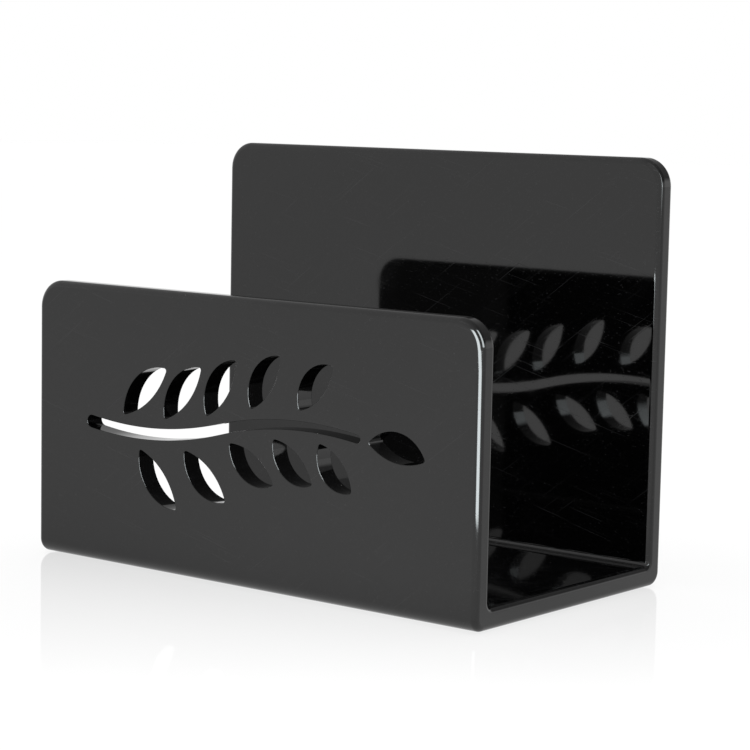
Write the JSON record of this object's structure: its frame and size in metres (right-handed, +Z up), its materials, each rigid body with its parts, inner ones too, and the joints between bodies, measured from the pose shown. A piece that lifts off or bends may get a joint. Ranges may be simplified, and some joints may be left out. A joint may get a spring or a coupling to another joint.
{
  "type": "letter holder",
  "caption": "U-shaped desktop letter holder in thick gloss black plastic, with a low front panel pierced by a leaf sprig, a taller back panel and grip pads under its floor.",
  "frame": {"origin": "bottom centre of the bounding box, on the surface that the grip pads stand on", "axes": "+X along the width to the right, +Y to the back, +Z up; the pierced front panel faces -Y"},
  "size_m": [0.16, 0.088, 0.1204],
  "materials": {
    "body": "gloss",
    "pads": "matte"
  },
  "bodies": {
    "root": {"holder_body": "body", "pad_front_left": "pads", "pad_front_right": "pads", "pad_back_left": "pads", "pad_back_right": "pads"}
  },
  "joints": []
}
